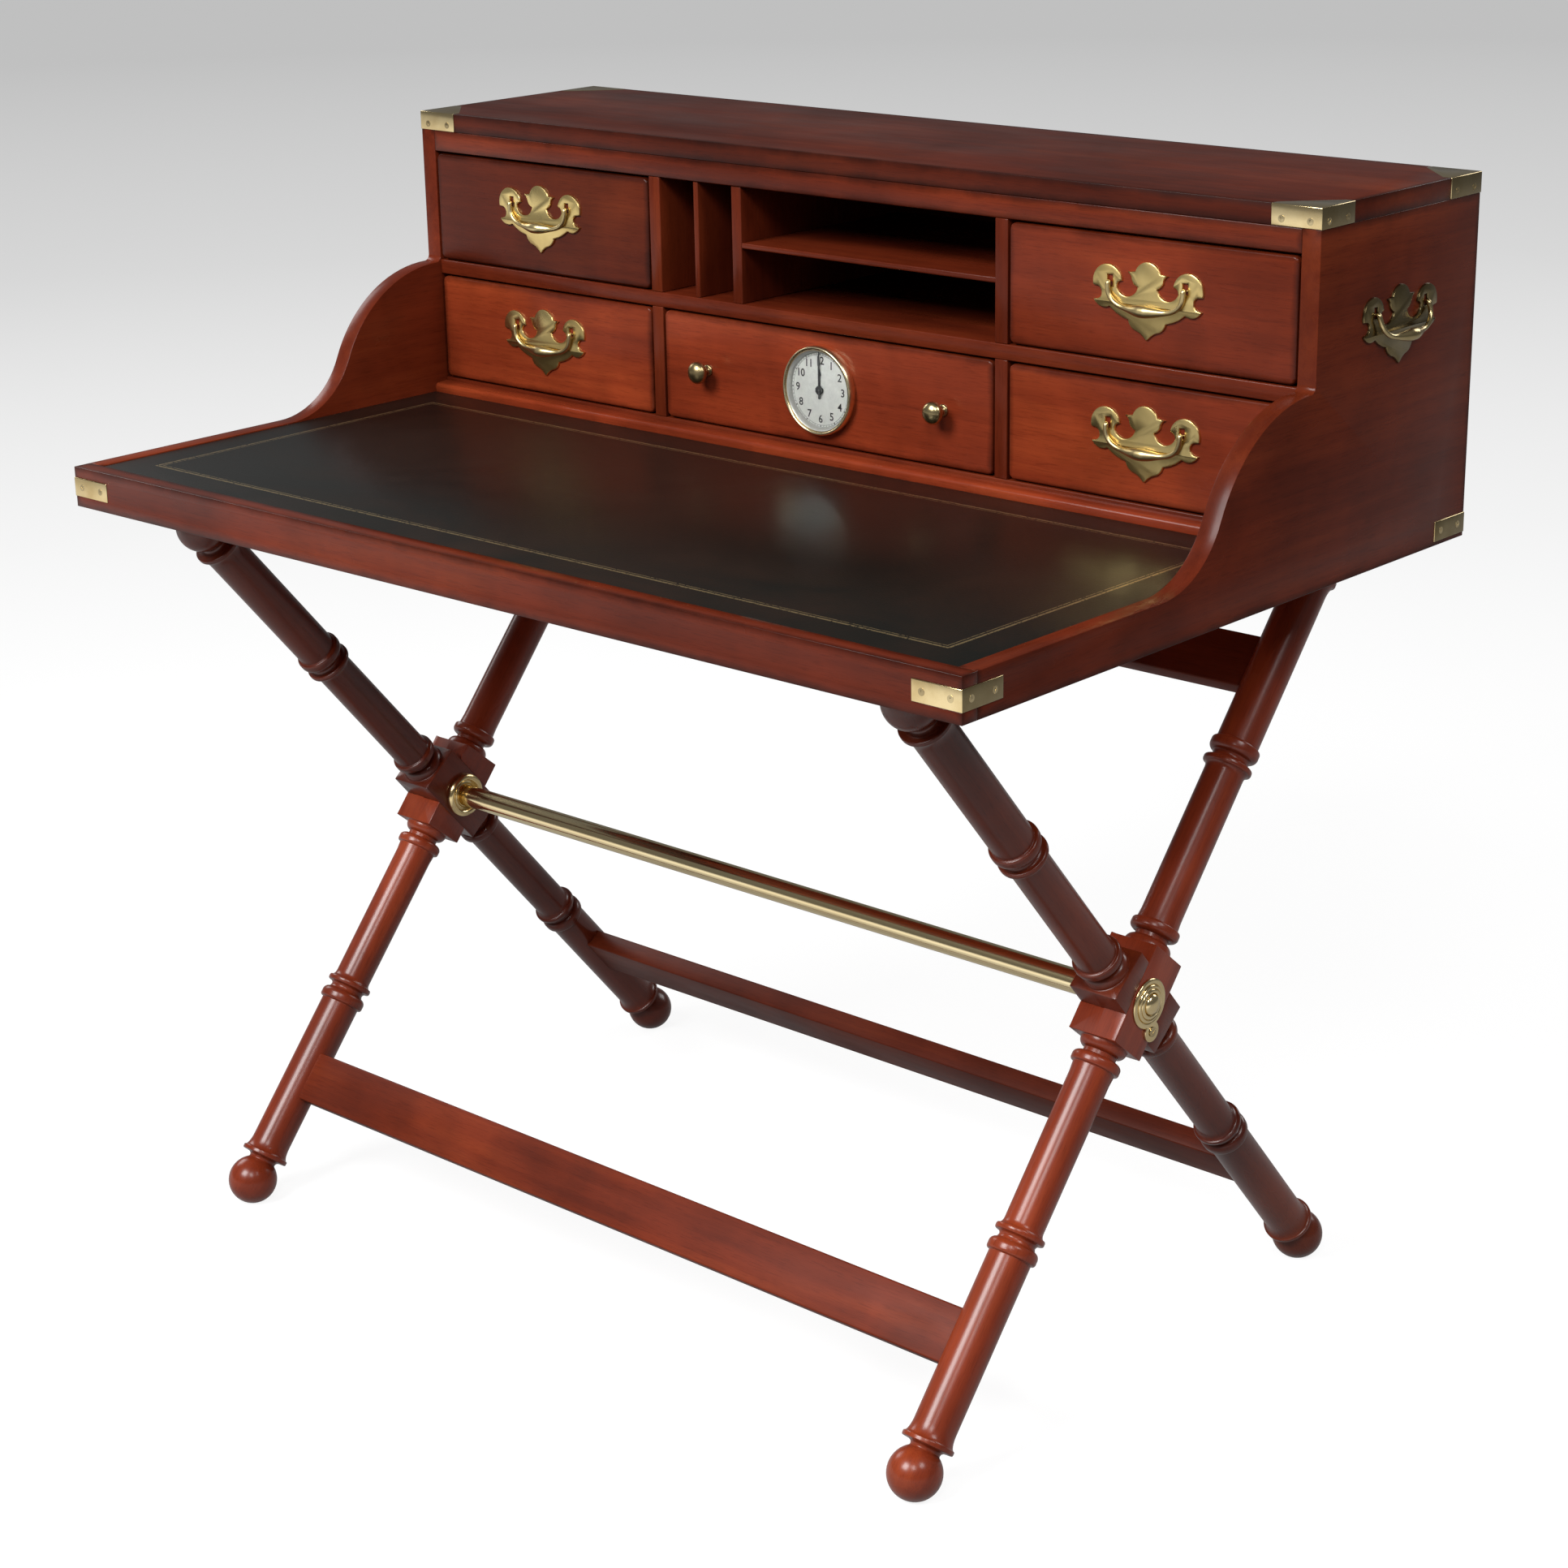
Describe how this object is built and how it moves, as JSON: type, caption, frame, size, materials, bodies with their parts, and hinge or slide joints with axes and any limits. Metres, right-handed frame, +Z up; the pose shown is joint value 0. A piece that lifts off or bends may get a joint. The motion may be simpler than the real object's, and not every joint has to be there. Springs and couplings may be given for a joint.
{
  "type": "campaign desk",
  "caption": "Wooden campaign desk: a leather-topped writing case with a gallery of drawers and pigeonholes and a clock, on crossed turned legs with stretchers and a brass tube.",
  "frame": {"origin": "on the floor under the middle of the desk", "axes": "+Z up, -Y towards the person who sits at it, +X to that person's right, along the width"},
  "size_m": [1.1064, 0.6992, 1.029],
  "materials": {
    "mahogany": "satin polish over red-brown grain",
    "mahogany_dark": "satin polish, darker turned wood",
    "drawer_lining": "plain waxed wood",
    "leather": "polished dark hide with a gilt tooled line",
    "brass": "polished and lacquered",
    "glass": "clear",
    "dial": "matt white with black printing",
    "movement": "matt black casing",
    "hands": "black paint",
    "steel": "plain"
  },
  "bodies": {
    "desk": {"side_panel_left": "mahogany", "side_panel_right": "mahogany", "back_panel": "mahogany", "top_board": "mahogany", "front_rail": "mahogany", "corner_straps": "brass", "writing_board": "mahogany", "gallery_floor": "mahogany", "middle_shelf": "mahogany", "frieze_rail": "mahogany", "gallery_dividers": "mahogany", "pigeonhole_partitions": "mahogany", "letter_shelf": "mahogany", "ledge_moulding": "mahogany", "leather_writing_surface": "leather", "case_bearers": "mahogany", "leg_left_front_foot": "mahogany_dark", "leg_left_rear_foot": "mahogany_dark", "leg_right_front_foot": "mahogany_dark", "leg_right_rear_foot": "mahogany_dark", "stretcher_lower_front": "mahogany", "stretcher_lower_rear": "mahogany", "stretcher_upper_rear": "mahogany", "cross_tube": "brass", "tube_flanges": "brass", "frame_bolts": "steel", "leg_top_dowels": "drawer_lining", "side_handle_plates": "brass", "bolt_cover_screws": "brass"},
    "drawer_upper_left": {"front_upper_left": "mahogany", "box_upper_left": "drawer_lining", "plate_upper_left": "brass"},
    "drawer_upper_right": {"front_upper_right": "mahogany", "box_upper_right": "drawer_lining", "plate_upper_right": "brass"},
    "drawer_lower_left": {"front_lower_left": "mahogany", "box_lower_left": "drawer_lining", "plate_lower_left": "brass"},
    "drawer_lower_centre": {"front_lower_centre": "mahogany", "box_lower_centre": "drawer_lining", "drawer_knobs": "brass", "clock_bezel": "brass", "clock_glass": "glass", "clock_dial": "dial", "clock_movement": "movement"},
    "drawer_lower_right": {"front_lower_right": "mahogany", "box_lower_right": "drawer_lining", "plate_lower_right": "brass"},
    "bail_upper_left": {"bail_upper_left": "brass"},
    "bail_upper_right": {"bail_upper_right": "brass"},
    "bail_lower_left": {"bail_lower_left": "brass"},
    "bail_lower_right": {"bail_lower_right": "brass"},
    "bail_side_left": {"bail_side_left": "brass"},
    "bail_side_right": {"bail_side_right": "brass"},
    "bolt_cover_left": {"bolt_cover_left": "brass"},
    "bolt_cover_right": {"bolt_cover_right": "brass"},
    "setting_knob": {"setting_knob": "brass"},
    "minute_hand": {"minute_hand": "hands"},
    "hour_hand": {"hour_hand": "hands"}
  },
  "joints": [
    {"name": "drawer_upper_left_slide", "type": "slide", "parent": "desk", "child": "drawer_upper_left", "axis": [0, -1, 0], "range_m": [0, 0.18]},
    {"name": "drawer_upper_right_slide", "type": "slide", "parent": "desk", "child": "drawer_upper_right", "axis": [0, -1, 0], "range_m": [0, 0.18]},
    {"name": "drawer_lower_left_slide", "type": "slide", "parent": "desk", "child": "drawer_lower_left", "axis": [0, -1, 0], "range_m": [0, 0.18]},
    {"name": "drawer_lower_centre_slide", "type": "slide", "parent": "desk", "child": "drawer_lower_centre", "axis": [0, -1, 0], "range_m": [0, 0.18]},
    {"name": "drawer_lower_right_slide", "type": "slide", "parent": "desk", "child": "drawer_lower_right", "axis": [0, -1, 0], "range_m": [0, 0.18]},
    {"name": "bail_upper_left_hinge", "type": "hinge", "parent": "drawer_upper_left", "child": "bail_upper_left", "pos_m": [-0.3655, 0.10375, 0.94905], "axis": [-1, 0, 0], "range_deg": [0, 70]},
    {"name": "bail_upper_right_hinge", "type": "hinge", "parent": "drawer_upper_right", "child": "bail_upper_right", "pos_m": [0.3655, 0.10375, 0.94905], "axis": [-1, 0, 0], "range_deg": [0, 70]},
    {"name": "bail_lower_left_hinge", "type": "hinge", "parent": "drawer_lower_left", "child": "bail_lower_left", "pos_m": [-0.3655, 0.10375, 0.82705], "axis": [-1, 0, 0], "range_deg": [0, 70]},
    {"name": "bail_lower_right_hinge", "type": "hinge", "parent": "drawer_lower_right", "child": "bail_lower_right", "pos_m": [0.3655, 0.10375, 0.82705], "axis": [-1, 0, 0], "range_deg": [0, 70]},
    {"name": "bail_side_left_hinge", "type": "hinge", "parent": "desk", "child": "bail_side_left", "pos_m": [-0.53425, 0.227, 0.9311], "axis": [0, 1, 0], "range_deg": [0, 70]},
    {"name": "bail_side_right_hinge", "type": "hinge", "parent": "desk", "child": "bail_side_right", "pos_m": [0.53425, 0.227, 0.9311], "axis": [0, -1, 0], "range_deg": [0, 70]},
    {"name": "bolt_cover_left_swivel", "type": "hinge", "parent": "desk", "child": "bolt_cover_left", "pos_m": [-0.45525, 0.00329, 0.3312], "axis": [-1, 0, 0], "continuous": true},
    {"name": "bolt_cover_right_swivel", "type": "hinge", "parent": "desk", "child": "bolt_cover_right", "pos_m": [0.45525, 0.00329, 0.3312], "axis": [1, 0, 0], "continuous": true},
    {"name": "setting_knob_turn", "type": "hinge", "parent": "drawer_lower_centre", "child": "setting_knob", "pos_m": [0, 0.105, 0.81345], "axis": [0, 1, 0], "continuous": true},
    {"name": "minute_hand_turn", "type": "hinge", "parent": "drawer_lower_centre", "child": "minute_hand", "pos_m": [0, 0.105, 0.81345], "axis": [0, 1, 0], "continuous": true},
    {"name": "hour_hand_turn", "type": "hinge", "parent": "drawer_lower_centre", "child": "hour_hand", "pos_m": [0, 0.105, 0.81345], "axis": [0, 1, 0], "continuous": true}
  ],
  "couplings": [
    {"joint": "minute_hand_turn", "follows": "setting_knob_turn", "ratio": 1},
    {"joint": "hour_hand_turn", "follows": "setting_knob_turn", "ratio": 0.083333}
  ]
}
